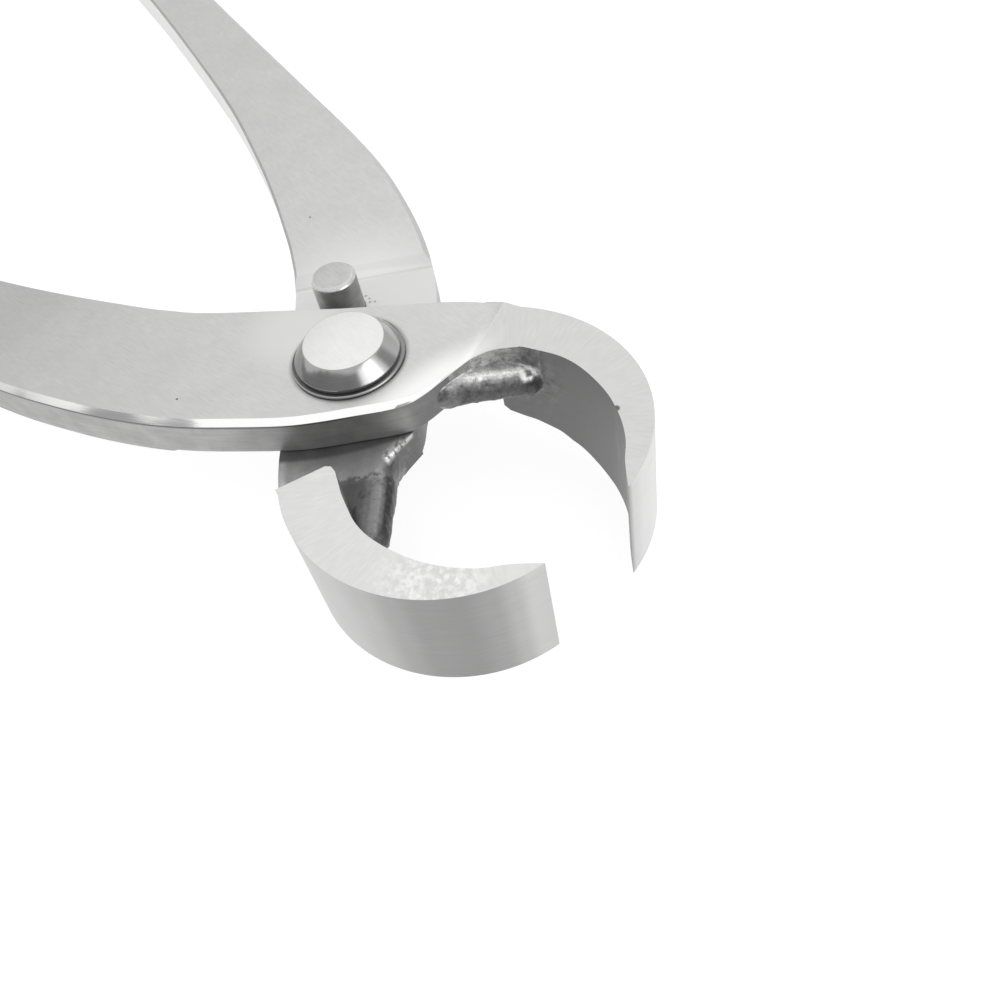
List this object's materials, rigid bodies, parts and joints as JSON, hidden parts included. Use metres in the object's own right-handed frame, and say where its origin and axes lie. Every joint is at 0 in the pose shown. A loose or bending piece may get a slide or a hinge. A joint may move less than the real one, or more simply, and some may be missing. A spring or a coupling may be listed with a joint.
{
  "type": "concave branch cutter",
  "caption": "Forged steel concave branch cutter with long bowed handles, riveted half-lap pivot, stop pin and two deep curved jaws.",
  "frame": {"origin": "centre of the rivet head's flat top, on the pivot axis", "axes": "+X from the pivot to the cutting edges, +Y towards the upper half's jaw, +Z along the pivot axis out of the rivet head"},
  "size_m": [0.2015, 0.1172, 0.0166],
  "materials": {
    "forged_steel": "brushed stainless, rough forged webs",
    "turned_steel": "turned and polished"
  },
  "bodies": {
    "upper": {"upper_half": "forged_steel", "pivot_rivet": "turned_steel", "pivot_washer": "turned_steel", "pivot_collar": "turned_steel"},
    "lower": {"lower_half": "forged_steel", "stop_pin": "turned_steel"}
  },
  "joints": [
    {"name": "pivot", "type": "hinge", "parent": "upper", "child": "lower", "pos_m": [0, 0, 0], "axis": [0, 0, -1], "range_deg": [-17.4, 46]}
  ]
}
